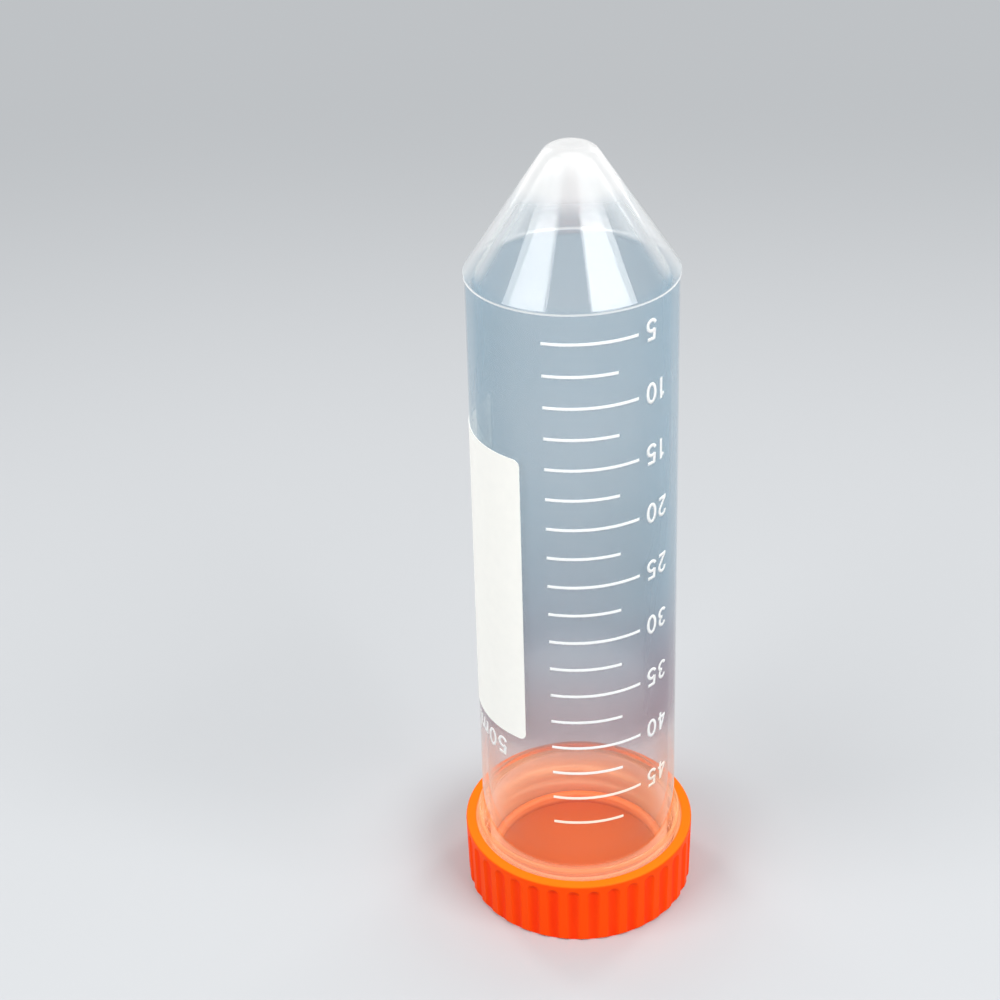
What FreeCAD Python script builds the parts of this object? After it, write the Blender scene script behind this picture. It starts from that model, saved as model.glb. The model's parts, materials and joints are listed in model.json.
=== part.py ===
import FreeCAD, Part
import math
import os

# 50 ml conical centrifuge tube, closed, standing upside down on its screw cap.
# Millimetres. The origin is the centre of the cap's flat top, which is the face
# it stands on, and +Z runs from there to the tip of the cone.
# Pieces: a moulded cap, a plug seal that lies inside it, a clear tube, and the
# ink printed on the tube.

# ---- cap: one moulding, orange
CAP_HEIGHT = 10.65
CAP_FLOOR = 1.4
CAP_WALL = 1.6           # at the rim
CAP_TAPER = 0.15         # how much narrower the cap is at its flat end
CAP_BASE_CHAMFER = 0.35
CAP_RIM_ROUND = 0.35
CAP_MOUTH_ROUND = 0.3
GRIP_GROOVES = 36
GRIP_GROOVE_DEPTH = 0.5
GRIP_GROOVE_R = 1.35
GRIP_PLAIN_BAND = 0.6
GRIP_TURN_DEG = 1.9      # how far the cap is screwed past a ridge facing the front

# ---- plug seal: a disc with a ring that enters the mouth of the tube
SEAL_DISC = 0.5
SEAL_RING_HEIGHT = 1.7
SEAL_RING_WALL = 1.2
SEAL_RING_ROUND = 0.54

# ---- tube: one moulding, milky and see-through
BODY_R = 14.0            # outside, just below the cone
BODY_LENGTH = 98.65      # from the mouth to the shoulder
BODY_DRAFT_DEG = 0.394   # the body widens towards its mouth
WALL = 0.95
SHOULDER_STEP = 0.2      # the cone's base stands a little proud of the body
SHOULDER_BAND = 0.5
SHOULDER_ROUND = 0.2
CONE_HEIGHT = 17.2
CONE_HALF_ANGLE_DEG = 33.84
CONE_TIP_ROUND = 2.55
CONE_WALL = 1.45         # thicker than the body's: the cone takes the load in a rotor
CONE_TIP_WALL = 1.8
INNER_SHOULDER_ROUND = 1.0
INNER_TIP_ROUND = 1.8
NECK_WALL = 0.87
MOUTH_ROUND = 0.25
COLLAR_STEP = 0.8        # how far the collar stands out from the neck
COLLAR_HEIGHT = 2.1
COLLAR_SHOWING = 1.65    # how far the collar stands out of the closed cap
COLLAR_TOP_ROUND = 0.5
COLLAR_FOOT_ROUND = 0.2

# ---- thread: right-handed, one start, the same ridge on the neck and in the cap
THREAD_LEAD = 3.2
THREAD_TURNS = 1.6
THREAD_CREST = 0.8
THREAD_BASE = 1.6
THREAD_ROOT_OVERLAP = 0.2
THREAD_FIRST_Z = 3.6     # height of the ridge's middle where it starts

# ---- print on the tube
INK = 0.08
LINE_WIDTH = 0.37
LINE_COUNT = 18          # 5 ml to 47.5 ml
LINE_SPACING = 4.477     # 2.5 ml
FIRST_LINE_DROP = 3.88   # 5 ml line, below the shoulder
LINE_LEFT_DEG = -15.2    # angles run round the tube from the front, -Y towards +X
LONG_LINE_RIGHT_DEG = 37.1
SHORT_LINE_RIGHT_DEG = 25.1
PATCH_TOP_DROP = 21.3
PATCH_HEIGHT = 45.3
PATCH_RIGHT_DEG = -30.5
PATCH_SPAN_DEG = 96.0
PATCH_CORNER_R = 1.0
PRINT_LEAN_DEG_PER_MM = -0.0348  # the whole print runs a shade off the axis
PRINT_MIDDLE_DROP = 42.0

# ---- clearances
COLLAR_CLEARANCE = 0.3   # collar to the cap's bore
THREAD_CLEARANCE = 0.4   # crest of a ridge to the wall that it faces
SEAL_FIT = 0.05          # seal disc to the cap's bore, and seal ring to the tube's bore
SEAT_GAP = 0.02          # tube's mouth to the seal, and seal to the cap's floor

# ---- sizes that follow
DRAFT = math.tan(math.radians(BODY_DRAFT_DEG))
CONE_SLOPE = math.tan(math.radians(CONE_HALF_ANGLE_DEG))
SHOULDER_R = BODY_R + SHOULDER_STEP
MOUTH_BORE_R = BODY_R + DRAFT * BODY_LENGTH - WALL
NECK_R = MOUTH_BORE_R + NECK_WALL
COLLAR_R = NECK_R + COLLAR_STEP
CAP_BORE_R = COLLAR_R + COLLAR_CLEARANCE
THREAD_HEIGHT = CAP_BORE_R - NECK_R - THREAD_CLEARANCE
CAP_RIM_R = CAP_BORE_R + CAP_WALL
CAP_BASE_R = CAP_RIM_R - CAP_TAPER
SEAL_Z = CAP_FLOOR + SEAT_GAP
SEAL_TOP_Z = SEAL_Z + SEAL_DISC
MOUTH_Z = SEAL_TOP_Z + SEAT_GAP
SHOULDER_Z = MOUTH_Z + BODY_LENGTH
TIP_Z = SHOULDER_Z + CONE_HEIGHT
COLLAR_TOP_Z = CAP_HEIGHT + COLLAR_SHOWING
COLLAR_FOOT_Z = COLLAR_TOP_Z - COLLAR_HEIGHT

Z_AXIS = FreeCAD.Vector(0, 0, 1)
ORIGIN = FreeCAD.Vector(0, 0, 0)


def body_radius(z):
    """Outer radius of the tube's drafted body at height z."""
    return BODY_R + DRAFT * (SHOULDER_Z - z)


def bore_radius(z):
    """Inner radius of the tube's drafted body at height z."""
    return body_radius(z) - WALL


# ---- outlines and solids of revolution

def rounded_outline(corners):
    """Closed wire in the XZ plane through (radius, z, rounding) corners."""
    count = len(corners)
    points = [FreeCAD.Vector(r, 0, z) for r, z, rounding in corners]
    edges = []
    starts = []
    for i in range(count):
        rounding = corners[i][2]
        here = points[i]
        to_last = (points[i - 1] - here).normalize()
        to_next = (points[(i + 1) % count] - here).normalize()
        if rounding == 0:
            starts.append((here, here, None))
            continue
        half = to_last.getAngle(to_next) / 2
        reach = rounding / math.tan(half)
        bisector = (to_last + to_next).normalize()
        nearest = here + bisector * (rounding / math.sin(half) - rounding)
        starts.append((here + to_last * reach, here + to_next * reach, nearest))
    for i in range(count):
        arc_in, arc_out, nearest = starts[i]
        if nearest is not None:
            edges.append(Part.Arc(arc_in, nearest, arc_out).toShape())
        next_in = starts[(i + 1) % count][0]
        edges.append(Part.makeLine(arc_out, next_in))
    return Part.Wire(edges)


def turned(corners, degrees=360):
    """Solid made by turning an outline about the Z axis."""
    face = Part.Face(rounded_outline(corners))
    return face.revolve(ORIGIN, Z_AXIS, degrees)


def spun(shape, degrees):
    """The shape turned about the Z axis, in place."""
    shape.rotate(ORIGIN, Z_AXIS, degrees)
    return shape


# ---- thread

def thread_ridge(root_r, outward, start_deg):
    """Helical ridge on a wall of radius root_r, with rounded-off run-outs."""
    sign = 1 if outward else -1
    foot = root_r - sign * THREAD_ROOT_OVERLAP
    crest = root_r + sign * THREAD_HEIGHT
    flank = (THREAD_BASE - THREAD_CREST) / 2 / THREAD_HEIGHT
    half_foot = THREAD_BASE / 2 + flank * THREAD_ROOT_OVERLAP
    corners = [
        (foot, -half_foot, 0),
        (crest, -THREAD_CREST / 2, 0),
        (crest, THREAD_CREST / 2, 0),
        (foot, half_foot, 0),
    ]
    helix = Part.makeHelix(THREAD_LEAD, THREAD_LEAD * THREAD_TURNS, root_r)
    ridge = Part.Wire(helix.Edges).makePipeShell([rounded_outline(corners)], True, True)
    nose = Part.Face(rounded_outline(corners))
    nose_axis = FreeCAD.Vector(foot, 0, 0)
    first_nose = nose.revolve(nose_axis, Z_AXIS, -sign * 90)
    last_nose = nose.revolve(nose_axis, Z_AXIS, sign * 90)
    last_nose.translate(FreeCAD.Vector(0, 0, THREAD_LEAD * THREAD_TURNS))
    spun(last_nose, 360 * THREAD_TURNS)
    ridge = ridge.fuse([first_nose, last_nose])
    ridge.translate(FreeCAD.Vector(0, 0, THREAD_FIRST_Z))
    return spun(ridge, start_deg)


# ---- cap

def cap():
    """Flat-topped cap with a grooved grip and the thread inside."""
    blank = turned([
        (0, 0, 0),
        (CAP_BASE_R - CAP_BASE_CHAMFER, 0, 0),
        (CAP_BASE_R, CAP_BASE_CHAMFER, 0),
        (CAP_RIM_R, CAP_HEIGHT, CAP_RIM_ROUND),
        (CAP_BORE_R, CAP_HEIGHT, CAP_MOUTH_ROUND),
        (CAP_BORE_R, CAP_FLOOR, 0),
        (0, CAP_FLOOR, 0),
    ])
    shape = blank.fuse(thread_ridge(CAP_BORE_R, False, 180))
    return shape.cut(grip_grooves())


def grip_grooves():
    """Ball-nosed upright grooves, spaced evenly round the grip."""
    axis_r = CAP_RIM_R + GRIP_GROOVE_R - GRIP_GROOVE_DEPTH
    nose_z = CAP_HEIGHT - GRIP_PLAIN_BAND - GRIP_GROOVE_R
    start = FreeCAD.Vector(axis_r, 0, -1)
    shaft = Part.makeCylinder(GRIP_GROOVE_R, nose_z - start.z, start)
    nose = Part.makeSphere(GRIP_GROOVE_R, FreeCAD.Vector(axis_r, 0, nose_z))
    cutter = shaft.fuse(nose)
    step = 360 / GRIP_GROOVES
    return [spun(cutter.copy(), GRIP_TURN_DEG + (i + 0.5) * step)
            for i in range(GRIP_GROOVES)]


# ---- plug seal

def seal():
    """Disc that lies on the cap's floor, with the ring that plugs the mouth."""
    disc_r = CAP_BORE_R - SEAL_FIT
    ring_r = bore_radius(MOUTH_Z + SEAL_RING_HEIGHT) - SEAL_FIT
    ring_top = SEAL_TOP_Z + SEAL_RING_HEIGHT
    ring_in = ring_r - SEAL_RING_WALL
    return turned([
        (0, SEAL_Z, 0),
        (disc_r, SEAL_Z, 0),
        (disc_r, SEAL_TOP_Z, 0),
        (ring_r, SEAL_TOP_Z, 0),
        (ring_r, ring_top, SEAL_RING_ROUND),
        (ring_in, ring_top, SEAL_RING_ROUND),
        (ring_in, SEAL_TOP_Z, 0),
        (0, SEAL_TOP_Z, 0),
    ])


# ---- tube

def tube():
    """Hollow tube: cone, drafted body, collar, threaded neck, open mouth."""
    cone_foot_z = SHOULDER_Z + SHOULDER_BAND
    tip_r = SHOULDER_R - CONE_SLOPE * (TIP_Z - cone_foot_z)
    cone_wall_r = CONE_WALL / math.cos(math.radians(CONE_HALF_ANGLE_DEG))
    inner_tip_z = TIP_Z - CONE_TIP_WALL
    inner_tip_r = tip_r + CONE_SLOPE * CONE_TIP_WALL - cone_wall_r
    inner_foot_r = bore_radius(SHOULDER_Z)
    inner_foot_z = inner_tip_z - (inner_foot_r - inner_tip_r) / CONE_SLOPE
    shape = turned([
        (0, TIP_Z, 0),
        (tip_r, TIP_Z, CONE_TIP_ROUND),
        (SHOULDER_R, cone_foot_z, SHOULDER_ROUND),
        (SHOULDER_R, SHOULDER_Z, SHOULDER_ROUND / 2),
        (BODY_R, SHOULDER_Z, 0),
        (body_radius(COLLAR_TOP_Z), COLLAR_TOP_Z, 0),
        (COLLAR_R, COLLAR_TOP_Z, COLLAR_TOP_ROUND),
        (COLLAR_R, COLLAR_FOOT_Z, COLLAR_FOOT_ROUND),
        (NECK_R, COLLAR_FOOT_Z, 0),
        (NECK_R, MOUTH_Z, MOUTH_ROUND),
        (MOUTH_BORE_R, MOUTH_Z, MOUTH_ROUND),
        (inner_foot_r, inner_foot_z, INNER_SHOULDER_ROUND),
        (inner_tip_r, inner_tip_z, INNER_TIP_ROUND),
        (0, inner_tip_z, 0),
    ])
    return shape.fuse(thread_ridge(NECK_R, True, 0))


# ---- print

def ink_band(low_z, high_z, left_deg, right_deg):
    """Ink on the body between two heights and two angles from the front."""
    band = turned([
        (body_radius(low_z), low_z, 0),
        (body_radius(low_z) + INK, low_z, 0),
        (body_radius(high_z) + INK, high_z, 0),
        (body_radius(high_z), high_z, 0),
    ], right_deg - left_deg)
    return spun(band, left_deg - 90)


def print_lean(z):
    """Turn of the print about the axis at height z, in degrees."""
    return PRINT_LEAN_DEG_PER_MM * (z - SHOULDER_Z + PRINT_MIDDLE_DROP)


def scale_lines():
    """Volume marks every 2.5 ml, the 5 ml ones longer."""
    lines = []
    for i in range(LINE_COUNT):
        middle = SHOULDER_Z - FIRST_LINE_DROP - i * LINE_SPACING
        right = LONG_LINE_RIGHT_DEG if i % 2 == 0 else SHORT_LINE_RIGHT_DEG
        lean = print_lean(middle)
        lines.append(ink_band(middle - LINE_WIDTH / 2, middle + LINE_WIDTH / 2,
                              LINE_LEFT_DEG + lean, right + lean))
    return Part.makeCompound(lines)


def writing_patch():
    """White panel to write on, with rounded corners."""
    high_z = SHOULDER_Z - PATCH_TOP_DROP
    low_z = high_z - PATCH_HEIGHT
    right = PATCH_RIGHT_DEG + print_lean((high_z + low_z) / 2)
    panel = ink_band(low_z, high_z, right - PATCH_SPAN_DEG, right)
    corners = [edge for edge in panel.Edges if edge.Length < 2 * INK]
    return panel.makeFillet(PATCH_CORNER_R, corners)


os.makedirs("parts", exist_ok=True)
pieces = {
    "cap": cap(),
    "plug_seal": seal(),
    "tube": tube(),
    "scale_lines": scale_lines(),
    "writing_patch": writing_patch(),
}
for name, shape in pieces.items():
    shape.exportStep(f"parts/{name}.step")
    print(name, "valid", shape.isValid(), "solids", len(shape.Solids),
          "volume", round(shape.Volume, 2))
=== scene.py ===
import json
import math

import bpy
from mathutils import Matrix, Vector

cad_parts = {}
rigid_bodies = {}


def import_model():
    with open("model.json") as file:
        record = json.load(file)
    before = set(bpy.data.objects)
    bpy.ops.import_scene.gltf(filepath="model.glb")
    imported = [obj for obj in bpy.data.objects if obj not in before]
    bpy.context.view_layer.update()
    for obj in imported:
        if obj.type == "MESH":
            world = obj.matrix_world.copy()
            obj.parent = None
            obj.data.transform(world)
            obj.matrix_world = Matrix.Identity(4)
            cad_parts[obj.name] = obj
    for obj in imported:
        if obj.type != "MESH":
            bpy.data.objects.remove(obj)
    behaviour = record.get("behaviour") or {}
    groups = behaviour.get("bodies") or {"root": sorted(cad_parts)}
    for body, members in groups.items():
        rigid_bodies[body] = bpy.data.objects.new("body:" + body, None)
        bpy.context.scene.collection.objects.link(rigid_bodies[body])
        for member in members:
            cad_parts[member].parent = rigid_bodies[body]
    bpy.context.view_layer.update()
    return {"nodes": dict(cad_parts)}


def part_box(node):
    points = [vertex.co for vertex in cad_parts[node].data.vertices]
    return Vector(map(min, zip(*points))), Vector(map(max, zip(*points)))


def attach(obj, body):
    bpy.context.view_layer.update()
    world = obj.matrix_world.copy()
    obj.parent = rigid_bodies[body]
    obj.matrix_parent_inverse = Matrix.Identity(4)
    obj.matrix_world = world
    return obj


# A 50 ml conical tube, closed and standing on its orange screw cap.
# Metres. Z = 0 is the bench, +Z runs up the tube to the tip of the cone, and the
# volume scale faces -Y. Angles on the wall run from -Y towards +X.

for spare in list(bpy.data.objects):
    bpy.data.objects.remove(spare)
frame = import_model()
node = frame["nodes"]
MM = 0.001


# ==== screw cap =============================================================
# Injection moulded in orange polypropylene, with an upright grip all round, a
# plain band below the open rim and the thread inside. It stands on its flat
# closed end.

CAP_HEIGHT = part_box("cap")[1].z
CAP_CREST = 17.2 * MM          # radius of the grip's crests
CAP_GROOVE_BOTTOM = 16.75 * MM
CAP_ORANGE = (1.0, 0.066, 0.001, 1)
# the grooves between the grip's crests are painted darker: painted shade
CAP_GROOVE_SHADE = (0.93, 0.028, 0.001, 1)
CAP_FLOW_ORANGE = (1.0, 0.085, 0.002, 1)
CAP_FLOW = 9 * MM              # size of the cloudy flow marks
CAP_FLOW_SHARE = 0.5
# The inside of the cap is painted lighter than the outside (a painted glow) and paler again
# towards the rim (painted light).
CAP_INSIDE_PAINTED_GLOW = (0.86, 0.17, 0.030, 1)
CAP_INSIDE_PAINTED_LIGHT = (0.80, 0.46, 0.24, 1)
CAP_PAINTED_LIGHT_RISE = (2.0 * MM, 7.0 * MM)    # between these heights the inside is painted paler towards the rim: painted light
CAP_BORE = (15.8 * MM, 16.1 * MM)   # inside this radius the colour is a painted glow, for light through the thin wall
CAP_FLOOR = (1.0 * MM, 1.5 * MM)
CAP_RIM_PAINTED_LIGHT = (1.0, 0.175, 0.005, 1)
CAP_RIM_LIGHT_DEPTH = 0.35 * MM       # depth below the rim that is painted lighter: painted light on the rim
CAP_ROUGHNESS = 0.36
CAP_ROUGHNESS_PLAY = 0.16      # what the grain adds
CAP_GLOSS = 0.05
CAP_GRAIN = 0.25 * MM
CAP_GRAIN_DEPTH = 0.006 * MM


class Value:
    """A node's socket that takes part in plain arithmetic."""

    def __init__(self, graph, socket):
        self.graph = graph
        self.socket = socket

    def __add__(self, other):
        return self.graph.math("ADD", self, other)

    __radd__ = __add__

    def __sub__(self, other):
        return self.graph.math("SUBTRACT", self, other)

    def __rsub__(self, other):
        return self.graph.math("SUBTRACT", other, self)

    def __mul__(self, other):
        return self.graph.math("MULTIPLY", self, other)

    __rmul__ = __mul__

    def __truediv__(self, other):
        return self.graph.math("DIVIDE", self, other)

    def __rtruediv__(self, other):
        return self.graph.math("DIVIDE", other, self)

    def __pow__(self, other):
        return self.graph.math("POWER", self, other)


class Graph:
    """A node tree, with the one way in which nodes are added to it."""

    def __init__(self, tree):
        self.tree = tree

    def node(self, kind, settings=None, inputs=None, output=0):
        made = self.tree.nodes.new(kind)
        for name, setting in (settings or {}).items():
            setattr(made, name, setting)
        for name, given in (inputs or {}).items():
            if isinstance(given, Value):
                self.tree.links.new(given.socket, made.inputs[name])
            else:
                made.inputs[name].default_value = given
        return Value(self, made.outputs[output]) if made.outputs else made

    def math(self, operation, *values):
        return self.node("ShaderNodeMath", {"operation": operation}, dict(enumerate(values)))

    def blend(self, factor, first, second):
        """Mix of two shaders."""
        return self.node("ShaderNodeMixShader", inputs={0: factor, 1: first, 2: second})


class Finish(Graph):
    """A material. Its patterns are laid out by place on the object, in metres."""

    def __init__(self, name):
        self.material = bpy.data.materials.new(name)
        self.material.use_nodes = True
        super().__init__(self.material.node_tree)
        self.tree.nodes.clear()
        self.place = self.node("ShaderNodeTexCoord", output="Object")

    def axis(self, name):
        return self.node("ShaderNodeSeparateXYZ", inputs={0: self.place}, output=name)

    def from_axis(self):
        """Distance from the line that the tube turns about."""
        return (self.axis("X") ** 2 + self.axis("Y") ** 2) ** 0.5

    def between(self, value, low, high):
        """0 up to low, 1 from high on, and smooth between them."""
        return self.node("ShaderNodeMapRange", {"interpolation_type": "SMOOTHSTEP"},
                         {"Value": value, "From Min": low, "From Max": high})

    def noise(self, size, detail=3.0):
        """Noise with features of about the given size."""
        return self.node("ShaderNodeTexNoise", inputs={
            "Vector": self.place, "Scale": 1 / size, "Detail": detail})

    def colours(self, factor, first, second):
        """Mix of two colours; 6 and 7 are the Mix node's colour sockets."""
        return self.node("ShaderNodeMix", {"data_type": "RGBA"},
                         {0: factor, 6: first, 7: second}, output=2)

    def bump(self, height, depth):
        return self.node("ShaderNodeBump", inputs={"Height": height, "Distance": depth},
                         output="Normal")

    def principled(self, **sockets):
        """The sockets' names are written with _ for a space."""
        return self.node("ShaderNodeBsdfPrincipled", inputs={
            name.replace("_", " "): given for name, given in sockets.items()})

    def done(self, shader):
        self.node("ShaderNodeOutputMaterial", inputs={"Surface": shader})
        return self.material


def cap_plastic():
    finish = Finish("cap_orange")
    height = finish.axis("Z")
    out = finish.from_axis()
    crest = finish.between(out, CAP_GROOVE_BOTTOM, CAP_CREST)
    # the rim's top is painted lighter: painted light
    rim = finish.between(height, CAP_HEIGHT - CAP_RIM_LIGHT_DEPTH, CAP_HEIGHT)
    flow = finish.noise(CAP_FLOW)
    # painted shade in the grooves, lighter on the crests
    side = finish.colours(crest, CAP_GROOVE_SHADE, CAP_ORANGE)
    side = finish.colours(CAP_FLOW_SHARE * flow, side, CAP_FLOW_ORANGE)
    # painted glow inside the cap, painted paler towards the rim
    inside = (1 - finish.between(out, *CAP_BORE)) * finish.between(height, *CAP_FLOOR)
    painted_light_up_bore = finish.between(height, *CAP_PAINTED_LIGHT_RISE)
    side = finish.colours(inside, side, finish.colours(
        painted_light_up_bore, CAP_INSIDE_PAINTED_GLOW, CAP_INSIDE_PAINTED_LIGHT))
    grain = finish.noise(CAP_GRAIN)
    return finish.done(finish.principled(
        Base_Color=finish.colours(rim, side, CAP_RIM_PAINTED_LIGHT),
        Roughness=CAP_ROUGHNESS + CAP_ROUGHNESS_PLAY * grain,
        Specular_IOR_Level=CAP_GLOSS,
        Normal=finish.bump(grain, CAP_GRAIN_DEPTH),
    ))


def dress(name, material):
    """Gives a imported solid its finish."""
    node[name].data.materials.clear()
    node[name].data.materials.append(material)


dress("cap", cap_plastic())


# ==== plug seal =============================================================
# A soft moulded disc with a ring that presses into the tube's mouth. It lies
# loose on the cap's floor and is seen through the wall; its ring is painted
# paler towards the top: painted light.

SEAL_ORANGE = (0.54, 0.065, 0.003, 1)
SEAL_PAINTED_LIGHT = (0.85, 0.21, 0.05, 1)
SEAL_ROUGHNESS = 0.45
SEAL_ROUGHNESS_PLAY = 0.15
SEAL_GLOSS = 0.3
SEAL_GRAIN = 0.6 * MM
SEAL_GRAIN_DEPTH = 0.01 * MM
SEAL_RING_FOOT = 1.95 * MM
SEAL_RING_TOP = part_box("plug_seal")[1].z


def seal_plastic():
    finish = Finish("seal_orange")
    # the ring is painted paler towards its top: painted light
    painted_light_up_ring = finish.between(
        finish.axis("Z"), SEAL_RING_FOOT, (SEAL_RING_FOOT + SEAL_RING_TOP) / 2)
    grain = finish.noise(SEAL_GRAIN)
    return finish.done(finish.principled(
        Base_Color=finish.colours(painted_light_up_ring, SEAL_ORANGE, SEAL_PAINTED_LIGHT),
        Roughness=SEAL_ROUGHNESS + SEAL_ROUGHNESS_PLAY * grain,
        Specular_IOR_Level=SEAL_GLOSS,
        Normal=finish.bump(grain, SEAL_GRAIN_DEPTH),
    ))


dress("plug_seal", seal_plastic())


# ==== tube ==================================================================
# Injection moulded in natural polypropylene: milky and see-through, with a
# glossy skin. A wall seen edge on looks whiter, as more haze lies in the way.
# The wall just above the cap, the neck, collar and thread are painted peach:
# painted light, for the cap's orange. The lower body is painted a darker mauve,
# painted shade, and painted highlights run round the shoulder and along the
# collar's upper edge and the thread.

SHOULDER = 100.59 * MM
COLLAR_TOP = 12.3 * MM
COLLAR_R = 15.398 * MM
NECK_R = 14.6 * MM

# The heights between which one finish of the wall fades into the next.
CONE = (SHOULDER - 0.5 * MM, SHOULDER + 1 * MM)
TIP = (SHOULDER + 8.7 * MM, SHOULDER + 12.7 * MM)
TOP_STRETCH = (SHOULDER - 18 * MM, SHOULDER - 6 * MM)
LOW = (28 * MM, 85 * MM)
PAINTED_SHADE_SPAN = (34 * MM, 60 * MM)
NEAR_CAP = (29 * MM, 37 * MM)
PAINTED_CAP_LIGHT_SPAN = (18 * MM, 30 * MM)
NECK = (COLLAR_TOP - 1.2 * MM, COLLAR_TOP - 0.1 * MM)
THREAD = (COLLAR_TOP - 2.5 * MM, COLLAR_TOP - 2.0 * MM)
COLLAR_EDGE = (COLLAR_TOP - 1.3 * MM, COLLAR_TOP - 0.4 * MM)

# Radii that tell an outer face from the inner one behind it.
NECK_OUTSIDE = (NECK_R + 0.1 * MM, NECK_R + 0.6 * MM)
COLLAR_OUTSIDE = (COLLAR_R - 0.5 * MM, COLLAR_R - 0.2 * MM)
RING_OUTSIDE = (13.4 * MM, 13.6 * MM)
BODY_OUTSIDE = (13.8 * MM, 13.9 * MM)

TUBE_CONE_WHITE = (0.78, 0.78, 0.775, 1)
TUBE_BODY_BLUE = (0.19, 0.315, 0.40, 1)
# painted shade: the lower body is painted a darker mauve
TUBE_LOW_PAINTED_SHADE = (0.20, 0.13, 0.175, 1)
# painted light: the wall just above the cap is painted peach for the cap's orange light
TUBE_PAINTED_CAP_LIGHT = (0.90, 0.36, 0.12, 1)
# painted light: the neck is painted peach for the cap's orange light round it
TUBE_NECK_PAINTED_CAP_LIGHT = (1.0, 0.51, 0.28, 1)
# painted highlight and painted light from the cap on the thread's ridges
TUBE_THREAD_PAINTED_LIGHT = (1.0, 0.68, 0.42, 1)
TUBE_EDGE_WHITE = (0.98, 0.98, 0.97, 1)
TUBE_THROUGH = (0.99, 0.975, 0.95, 1)
TUBE_FORWARD = 0.15            # share of the haze that passes light on to the far side
TUBE_TIP_FORWARD = 0.4         # the same at the tip and the neck
TUBE_HAZE_ROUGHNESS = 0.5
TUBE_BODY_HAZE = 0.20          # how much one skin of the wall hides, seen square on
TUBE_LOW_HAZE = 0.37           # the same lower down
TUBE_NEAR_CAP_HAZE = 0.07          # the same just above the cap
TUBE_NECK_HAZE = 0.34          # the same inside the cap
TUBE_CONE_HAZE = 0.07          # the same just past the shoulder
TUBE_TIP_HAZE = 0.33           # the same on the thicker tip
TUBE_TOP_HAZE = 0.05           # what the last stretch below the shoulder adds
TUBE_THREAD_HIGHLIGHT = 0.60        # how much painted highlight and painted cap light the thread adds
TUBE_COLLAR_HIGHLIGHT = 0.36        # the painted highlight along the collar's upper edge
TUBE_RING_HIGHLIGHT = 0.45          # the painted highlight line round the shoulder
TUBE_RING_HEIGHT = SHOULDER + 0.14 * MM
TUBE_RING = 0.27 * MM          # half the ring's width
TUBE_RING_CORE = 0.4           # share of it that is at full strength
TUBE_CLOUD = 14 * MM           # size of the clouds in the haze
TUBE_CLOUD_LEAST = 0.85        # the haze in its thinnest spots
TUBE_CLOUD_PLAY = 0.3
TUBE_LEAST_SLANT = 0.12        # keeps the way through a wall seen edge on finite
TUBE_EDGE_FROM = (0.42, 0.80)  # the cone whitens between these slants, 1 is edge on
TUBE_EDGE_AT_TIP = 0.6         # how much less of that the tip shows
TUBE_EDGE_FORWARD = 0.85       # share of the white edge that is lit from behind
TUBE_RIPPLE = 7 * MM
TUBE_RIPPLE_DEPTH = 0.003 * MM
TUBE_SHINE = 0.036             # what one skin mirrors, seen square on
TUBE_SHINE_RISE = 5            # how late that rises towards the edge
TUBE_DULL = 0.7                # how much less the tip and the low end mirror
TUBE_SKIN_ROUGHNESS = 0.07
TUBE_TIP_ROUGHNESS = 0.12      # what the tip adds
TUBE_PASSES = 0.85             # share of lamp light that crosses a skin untouched
PANEL_EDGES = (-125.6, -31.4)  # degrees round from the front, just inside the panel
PANEL_EDGE_FADE = 1.0          # degrees
PANEL_FOOT = SHOULDER - 66.4 * MM
PANEL_TOP = SHOULDER - 21.5 * MM
PANEL_END_FADE = 1 * MM


def under_panel(finish, height, out):
    """1 on the outer face under the writing panel, where ink and plastic are bonded."""
    turn = finish.math("ARCTAN2", finish.axis("X"), -1 * finish.axis("Y"))
    left, right = (math.radians(edge) for edge in PANEL_EDGES)
    fade = math.radians(PANEL_EDGE_FADE)
    across = finish.between(turn, left, left + fade) * (
        1 - finish.between(turn, right - fade, right))
    along = finish.between(height, PANEL_FOOT, PANEL_FOOT + PANEL_END_FADE) * (
        1 - finish.between(height, PANEL_TOP - PANEL_END_FADE, PANEL_TOP))
    return across * along * finish.between(out, *BODY_OUTSIDE)


def white_haze(finish, colour):
    """The milky part of the plastic, lit from the side it is seen from."""
    return finish.principled(
        Base_Color=colour, Roughness=TUBE_HAZE_ROUGHNESS, Specular_IOR_Level=0.0)


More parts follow.
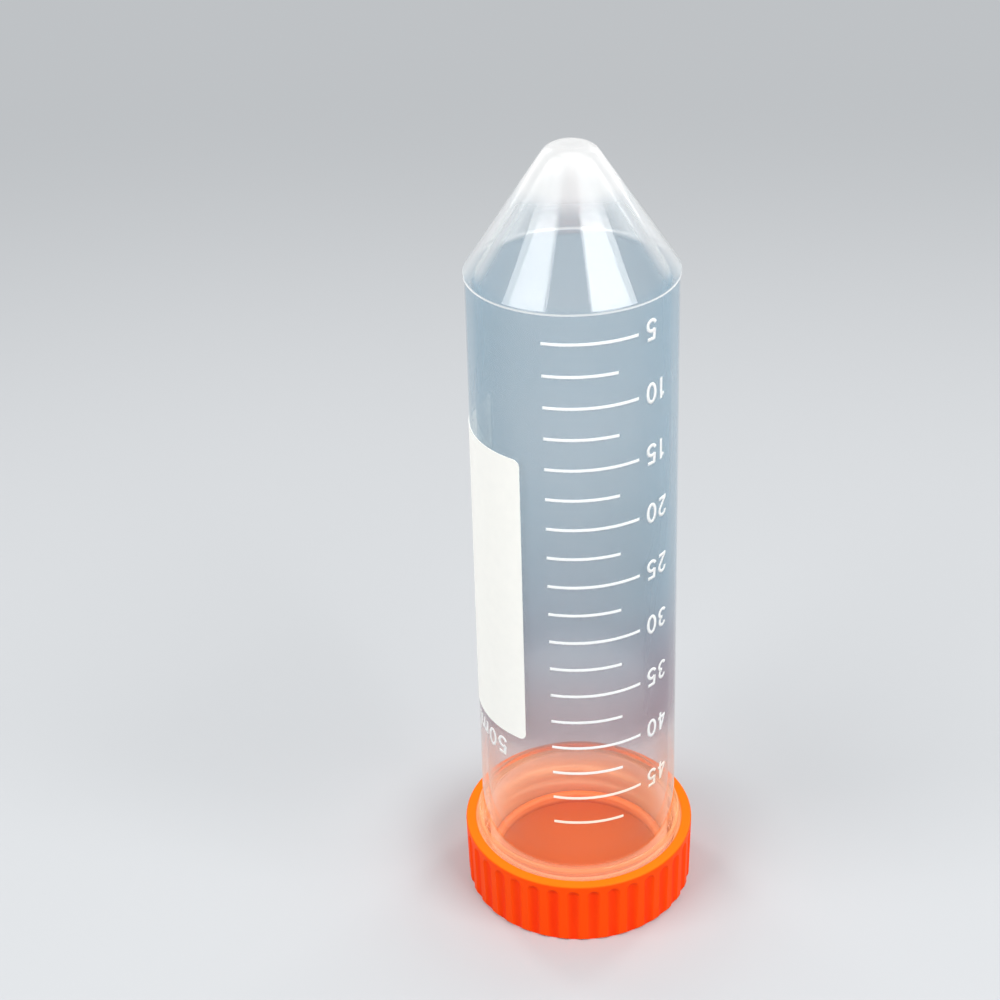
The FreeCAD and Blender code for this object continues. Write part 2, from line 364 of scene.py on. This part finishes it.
def tube_plastic():
    finish = Finish("tube_milky")
    height = finish.axis("Z")
    out = finish.from_axis()
    cone = finish.between(height, *CONE)
    tip = finish.between(height, *TIP)
    top = finish.between(height, *TOP_STRETCH)
    low = 1 - finish.between(height, *LOW)
    painted_low_shade = 1 - finish.between(height, *PAINTED_SHADE_SPAN)
    near_cap = 1 - finish.between(height, *NEAR_CAP)
    painted_cap_light = 1 - finish.between(height, *PAINTED_CAP_LIGHT_SPAN)
    outside = finish.between(out, *NECK_OUTSIDE)
    below = 1 - finish.between(height, *THREAD)
    thread = below * outside
    neck = (1 - finish.between(height, *NECK)) * (1 - outside * (1 - below))
    # painted highlight along the collar's upper edge
    collar = finish.between(height, *COLLAR_EDGE) * finish.between(out, *COLLAR_OUTSIDE)
    off_ring = finish.math("ABSOLUTE", height - TUBE_RING_HEIGHT)
    # painted highlight: a white line round the shoulder
    ring = finish.between(out, *RING_OUTSIDE) * (
        1 - finish.between(off_ring, TUBE_RING_CORE * TUBE_RING, TUBE_RING))

    # painted shade: darker mauve lower down
    colour = finish.colours(painted_low_shade, TUBE_BODY_BLUE, TUBE_LOW_PAINTED_SHADE)
    # painted light from the cap, peach just above it
    colour = finish.colours(painted_cap_light, colour, TUBE_PAINTED_CAP_LIGHT)
    # painted light from the cap on the neck
    colour = finish.colours(neck, colour, TUBE_NECK_PAINTED_CAP_LIGHT)
    # painted highlight and painted cap light on the thread
    colour = finish.colours(thread, colour, TUBE_THREAD_PAINTED_LIGHT)
    colour = finish.colours(tip, colour, TUBE_CONE_WHITE)
    # painted highlight round the shoulder
    colour = finish.colours(ring, colour, TUBE_CONE_WHITE)

    cloud = TUBE_CLOUD_LEAST + TUBE_CLOUD_PLAY * finish.noise(TUBE_CLOUD)
    hidden = (TUBE_BODY_HAZE + (TUBE_LOW_HAZE - TUBE_BODY_HAZE) * low
              + (TUBE_NEAR_CAP_HAZE - TUBE_LOW_HAZE) * near_cap
              + (TUBE_NECK_HAZE - TUBE_NEAR_CAP_HAZE) * neck
              + TUBE_TOP_HAZE * top * (1 - cone)
              + (TUBE_CONE_HAZE - TUBE_BODY_HAZE) * cone
              + (TUBE_TIP_HAZE - TUBE_CONE_HAZE) * tip) * cloud
    hidden = (hidden + TUBE_RING_HIGHLIGHT * ring + TUBE_THREAD_HIGHLIGHT * thread
              + TUBE_COLLAR_HIGHLIGHT * collar)
    facing = finish.node("ShaderNodeLayerWeight", inputs={"Blend": 0.5}, output="Facing")
    square_on = finish.math("MAXIMUM", 1 - facing, TUBE_LEAST_SLANT)
    bonded = under_panel(finish, height, out)
    clear = finish.math("MAXIMUM", (1 - hidden) ** (1 / square_on), bonded)

    lit_from_behind = finish.node("ShaderNodeBsdfTranslucent", inputs={"Color": TUBE_THROUGH})
    forward = TUBE_FORWARD + (TUBE_TIP_FORWARD - TUBE_FORWARD) * finish.math(
        "MAXIMUM", tip, neck)
    haze = finish.blend(forward, white_haze(finish, colour), lit_from_behind)
    wall = finish.blend(clear, haze, finish.node("ShaderNodeBsdfTransparent"))
    edge = cone * (1 - TUBE_EDGE_AT_TIP * tip) * finish.between(facing, *TUBE_EDGE_FROM)
    white_edge = finish.blend(
        TUBE_EDGE_FORWARD, white_haze(finish, TUBE_EDGE_WHITE), lit_from_behind)
    wall = finish.blend(edge, wall, white_edge)

    gloss = finish.node("ShaderNodeBsdfGlossy", inputs={
        "Color": (1, 1, 1, 1),
        "Roughness": TUBE_SKIN_ROUGHNESS + TUBE_TIP_ROUGHNESS * tip,
        "Normal": finish.bump(finish.noise(TUBE_RIPPLE), TUBE_RIPPLE_DEPTH)})
    dull = TUBE_DULL * finish.math("MAXIMUM", tip, near_cap)
    shine = (TUBE_SHINE * (1 - dull)
             + (1 - TUBE_SHINE) * facing ** TUBE_SHINE_RISE) * (1 - bonded)
    skin = finish.blend(shine, wall, gloss)
    from_lamp = finish.node("ShaderNodeLightPath", output="Is Shadow Ray")
    return finish.done(finish.blend(
        TUBE_PASSES * from_lamp, skin, finish.node("ShaderNodeBsdfTransparent")))


dress("tube", tube_plastic())


# ==== volume marks ==========================================================
# Screen printed on the wall in opaque white ink, one line for every 2.5 ml and
# a longer one for every 5 ml.

INK_WHITE = (0.93, 0.93, 0.91, 1)
INK_THIN = (0.86, 0.87, 0.87, 1)
INK_PAINTED_CAP_LIGHT = (0.96, 0.82, 0.68, 1)
INK_PALES_FROM = 22 * MM       # below this the ink is painted orange: painted light from the cap
INK_PALES_TO = 32 * MM
INK_THROUGH = 0.06             # share of the light that a print lets through
INK_ROUGHNESS = 0.45
INK_ROUGHNESS_PLAY = 0.2
INK_GLOSS = 0.3
INK_MOTTLE = 0.5 * MM
INK_GRAIN_DEPTH = 0.004 * MM


def ink(name, whitest, thinnest, mottle):
    finish = Finish(name)
    patch = finish.noise(mottle)
    # painted light: the ink is painted orange low down, near the cap
    high = finish.between(finish.axis("Z"), INK_PALES_FROM, INK_PALES_TO)
    white = finish.colours(patch, whitest, thinnest)
    front = finish.principled(
        Base_Color=finish.colours(high, INK_PAINTED_CAP_LIGHT, white),
        Roughness=INK_ROUGHNESS + INK_ROUGHNESS_PLAY * patch,
        Specular_IOR_Level=INK_GLOSS,
        Normal=finish.bump(patch, INK_GRAIN_DEPTH),
    )
    through = finish.node("ShaderNodeBsdfTranslucent", inputs={"Color": INK_WHITE})
    return finish.done(finish.blend(INK_THROUGH, front, through))


scale_ink = ink("scale_ink", INK_WHITE, INK_THIN, INK_MOTTLE)
dress("scale_lines", scale_ink)


# ==== writing panel =========================================================
# A solid white panel printed beside the scale, matt so that a pen takes on it.

PANEL_WHITE = (0.985, 0.97, 0.91, 1)
PANEL_THIN = (0.93, 0.92, 0.87, 1)
PANEL_MOTTLE = 1.5 * MM

dress("writing_patch", ink("panel_ink", PANEL_WHITE, PANEL_THIN, PANEL_MOTTLE))


# ==== numbers of the scale ==================================================
# Printed with the marks in the same ink, one beside each long line. They are
# read with the cap up, so on the standing tube they are upside down.

BODY_R = 14.0 * MM             # outside, just below the cone
DRAFT = 0.006877               # how much the wall widens per length towards the mouth
DIGIT_HEIGHT = 3.0 * MM
DIGIT_STROKE = 0.45 * MM
DIGIT_INK = 0.05 * MM
DIGIT_WIDTH = 0.6              # in digit heights
DIGIT_STEP = 0.77              # from digit to digit, in digit heights
FIRST_MARK = SHOULDER - 3.88 * MM
LONG_MARK_STEP = 2 * 4.477 * MM
MARK_COUNT = 9
NUMBER_RIGHT_EDGE = 42.6       # degrees round from the front, at the middle of the print
PRINT_LEAN = -34.8             # degrees per metre: the print runs a shade off the axis
PRINT_MIDDLE = SHOULDER - 42 * MM


def bow(middle_x, middle_y, half_wide, half_high, start, end, steps=24):
    """Points on an oval from one angle to another, in degrees."""
    turns = [math.radians(start + (end - start) * i / steps) for i in range(steps + 1)]
    return [(middle_x + half_wide * math.cos(turn), middle_y + half_high * math.sin(turn))
            for turn in turns]


# Middle lines of the strokes, in digit heights from the sign's lower left corner.
SIGNS = {
    "0": [bow(0.30, 0.50, 0.233, 0.433, 0, 360)],
    "1": [[(0.43, 0), (0.43, 1)], [(0.45, 0.93), (0.24, 0.76)]],
    "2": [bow(0.30, 0.695, 0.228, 0.238, 172, -38) + [(0.10, 0.10)],
          [(0.04, 0.067), (0.55, 0.067)]],
    "3": [bow(0.285, 0.715, 0.205, 0.218, 158, -90),
          bow(0.285, 0.282, 0.235, 0.215, 90, -158)],
    "4": [[(0.41, 0.97), (0.08, 0.33)], [(0.02, 0.29), (0.59, 0.29)], [(0.42, 1), (0.42, 0)]],
    "5": [[(0.12, 0.933), (0.53, 0.933)], [(0.155, 0.98), (0.105, 0.50)],
          bow(0.285, 0.32, 0.24, 0.253, 138, -158)],
    "m": [[(0.067, 0), (0.067, 0.68)], bow(0.25, 0.43, 0.183, 0.19, 180, 0) + [(0.433, 0)],
          bow(0.616, 0.43, 0.183, 0.19, 180, 0) + [(0.80, 0)]],
    "l": [[(0.067, 0), (0.067, 1)]],
}
SIGN_STEP = {"m": 1.0, "l": 0.3}


def wall_print():
    """Geometry nodes that sweep stroke lines with ink and lay them on the wall."""
    tree = bpy.data.node_groups.new("wall_print", "GeometryNodeTree")
    tree.interface.new_socket("Geometry", in_out="OUTPUT", socket_type="NodeSocketGeometry")
    tree.interface.new_socket("Lines", in_out="INPUT", socket_type="NodeSocketGeometry")
    for name in ("Stroke Width", "Ink Thickness", "Body Radius", "Draft", "Shoulder Height"):
        tree.interface.new_socket(name, in_out="INPUT", socket_type="NodeSocketFloat")
    tree.interface.new_socket("Ink", in_out="INPUT", socket_type="NodeSocketMaterial")
    graph = Graph(tree)

    def given(name):
        return graph.node("NodeGroupInput", output=name)

    curve = graph.node("GeometryNodeMeshToCurve", inputs={"Mesh": given("Lines")})
    curve = graph.node("GeometryNodeSetCurveNormal", {"mode": "Z_UP"}, {"Curve": curve})
    nib = graph.node("GeometryNodeCurvePrimitiveQuadrilateral", inputs={
        "Width": given("Stroke Width"), "Height": given("Ink Thickness")})
    swept = graph.node("GeometryNodeCurveToMesh", inputs={
        "Curve": curve, "Profile Curve": nib, "Fill Caps": True})
    place = graph.node("GeometryNodeInputPosition")
    along, height, lift = (
        graph.node("ShaderNodeSeparateXYZ", inputs={0: place}, output=axis) for axis in "XYZ")
    radius = given("Body Radius") + given("Draft") * (given("Shoulder Height") - height)
    radius = radius + given("Ink Thickness") / 2 + lift
    turn = along / given("Body Radius")
    wrapped = graph.node("ShaderNodeCombineXYZ", inputs={
        "X": radius * graph.math("SINE", turn),
        "Y": -1 * radius * graph.math("COSINE", turn),
        "Z": height})
    laid = graph.node("GeometryNodeSetPosition", inputs={"Geometry": swept, "Position": wrapped})
    whole = graph.node("GeometryNodeRealizeInstances", inputs={"Geometry": laid})
    inked = graph.node("GeometryNodeSetMaterial", inputs={"Geometry": whole,
                                                          "Material": given("Ink")})
    graph.node("NodeGroupOutput", inputs={"Geometry": inked})
    return tree


def print_lean(height):
    return PRINT_LEAN * (height - PRINT_MIDDLE)


def lines_of(text, start_deg, middle_height):
    """Stroke lines of upside-down text that starts at an angle and runs to the left."""
    start = math.radians(start_deg + print_lean(middle_height)) * BODY_R
    pen = 0.0
    lines = []
    for sign in text:
        for stroke in SIGNS[sign]:
            lines.append([(start - (pen + x) * DIGIT_HEIGHT,
                           middle_height + (0.5 - y) * DIGIT_HEIGHT, 0) for x, y in stroke])
        pen += SIGN_STEP.get(sign, DIGIT_STEP)
    return lines


WALL_PRINT = wall_print()
PRINT_SIZES = {"Stroke Width": DIGIT_STROKE, "Ink Thickness": DIGIT_INK, "Body Radius": BODY_R,
               "Draft": DRAFT, "Shoulder Height": SHOULDER, "Ink": scale_ink}


def printed(name, lines):
    """One piece of print on the tube's wall."""
    points = [point for line in lines for point in line]
    edges = []
    first = 0
    for line in lines:
        edges += [(first + i, first + i + 1) for i in range(len(line) - 1)]
        first += len(line)
    flat = bpy.data.meshes.new(name + "_lines")
    flat.from_pydata(points, edges, [])
    piece = bpy.data.objects.new(name, flat)
    bpy.context.scene.collection.objects.link(piece)
    layer = piece.modifiers.new("print", "NODES")
    layer.node_group = WALL_PRINT
    for socket in WALL_PRINT.interface.items_tree:
        if socket.name in PRINT_SIZES:
            layer[socket.identifier] = PRINT_SIZES[socket.name]
    evaluated = piece.evaluated_get(bpy.context.evaluated_depsgraph_get())
    mesh = bpy.data.meshes.new_from_object(evaluated)
    piece.modifiers.clear()
    piece.data = mesh
    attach(piece, "tube")


def number_lines():
    lines = []
    for i in range(MARK_COUNT):
        number = str(5 * (i + 1))
        wide = (DIGIT_STEP * (len(number) - 1) + DIGIT_WIDTH) * DIGIT_HEIGHT
        start = NUMBER_RIGHT_EDGE + math.degrees(wide / BODY_R)
        lines += lines_of(number, start, FIRST_MARK - i * LONG_MARK_STEP)
    return lines


printed("scale_numbers", number_lines())


# ==== capacity ==============================================================
# The tube's volume, printed beneath the writing panel in the same ink.

CAPACITY_START = -45.5         # degrees round from the front
CAPACITY_HEIGHT = SHOULDER - 69.5 * MM

printed("capacity", lines_of("50ml", CAPACITY_START, CAPACITY_HEIGHT))


# ==== floor, lamps and camera ===============================================
# A plain pale bench in an even pale surround. Two softboxes stand in front of
# the tube, one hangs high behind it, and two narrow ones light its milky wall
# from the back.

FLOOR_SIZE = 6.0
FLOOR_PALE = (0.52, 0.53, 0.54, 1)
STUDIO_PALE = (0.52, 0.54, 0.56, 1)
FLOOR_FADE = (0.13, 0.42)      # here the bench fades into the even surround
FLOOR_ROUGHNESS = 0.7
FLOOR_GLOSS = 0.1


def looked_at(graph):
    """1 for what is seen straight on, mirrored or through a wall, 0 for light on the object."""
    rays = [graph.node("ShaderNodeLightPath", output=f"Is {kind} Ray")
            for kind in ("Camera", "Glossy", "Transmission")]
    return graph.math("MAXIMUM", graph.math("MAXIMUM", rays[0], rays[1]), rays[2])


def floor_paint():
    finish = Finish("bench_pale")
    near = finish.principled(
        Base_Color=FLOOR_PALE, Roughness=FLOOR_ROUGHNESS, Specular_IOR_Level=FLOOR_GLOSS)
    even = finish.node("ShaderNodeEmission", inputs={"Color": STUDIO_PALE})
    far = finish.between(finish.from_axis(), *FLOOR_FADE)
    return finish.done(finish.blend(far * looked_at(finish), near, even))


bench = bpy.data.meshes.new("bench")
half = FLOOR_SIZE / 2
bench.from_pydata([(-half, -half, 0), (half, -half, 0), (half, half, 0), (-half, half, 0)],
                  [], [(0, 1, 2, 3)])
bench.materials.append(floor_paint())
floor = bpy.data.objects.new("bench", bench)
bpy.context.scene.collection.objects.link(floor)

LAMP_AIM = Vector((0, 0, 0.085))
LAMP_DISTANCE = 0.5
SOFTBOXES = {  # turn from the front towards +X, height angle, width, height, watts
    "softbox_left": (-58, 37, 0.34, 0.26, 1.8),
    "softbox_right": (50, 37, 0.36, 0.26, 2.3),
    "softbox_top": (160, 70, 0.40, 0.40, 0.4),
    "softbox_back_left": (-142, 24, 0.10, 0.30, 0.6),
    "softbox_back_right": (140, 24, 0.10, 0.30, 0.55),
}
for name, (turn, rise, width, height, watts) in SOFTBOXES.items():
    turn, rise = math.radians(turn), math.radians(rise)
    level = math.cos(rise)
    lamp = bpy.data.lights.new(name, "AREA")
    lamp.shape = "RECTANGLE"
    lamp.size = width
    lamp.size_y = height
    lamp.energy = watts
    stand = bpy.data.objects.new(name, lamp)
    out = Vector((math.sin(turn) * level, -math.cos(turn) * level, math.sin(rise)))
    stand.location = LAMP_AIM + out * LAMP_DISTANCE
    stand.rotation_euler = out.to_track_quat("Z", "Y").to_euler()
    bpy.context.scene.collection.objects.link(stand)

SURROUND = (0.86, 0.90, 0.95, 1)
SURROUND_STRENGTH = 0.38
world = bpy.data.worlds.new("surround")
bpy.context.scene.world = world
world.use_nodes = True
world.node_tree.nodes.clear()
sky = Graph(world.node_tree)
light = sky.node("ShaderNodeBackground", inputs={
    "Color": SURROUND, "Strength": SURROUND_STRENGTH})
studio = sky.node("ShaderNodeBackground", inputs={"Color": STUDIO_PALE})
sky.node("ShaderNodeOutputWorld", inputs={"Surface": sky.blend(looked_at(sky), light, studio)})

EYE = (0.0, -0.2212, 0.19657)
EYE_TURN = 2.685               # degrees
EYE_DROP = 30.47
EYE_ROLL = -2.0635
EYE_LENS = 66.54               # millimetres, on a sensor 36 wide
camera = bpy.data.cameras.new("camera")
camera.lens = EYE_LENS
camera.sensor_width = 36
eye = bpy.data.objects.new("camera", camera)
bpy.context.scene.collection.objects.link(eye)
turned = Matrix.Rotation(math.radians(EYE_TURN), 4, "Z")
dropped = Matrix.Rotation(math.radians(90 - EYE_DROP), 4, "X")
rolled = Matrix.Rotation(math.radians(EYE_ROLL), 4, "Z")
eye.matrix_world = Matrix.Translation(EYE) @ turned @ dropped @ rolled
bpy.context.scene.camera = eye
bpy.context.scene.view_settings.view_transform = "Standard"
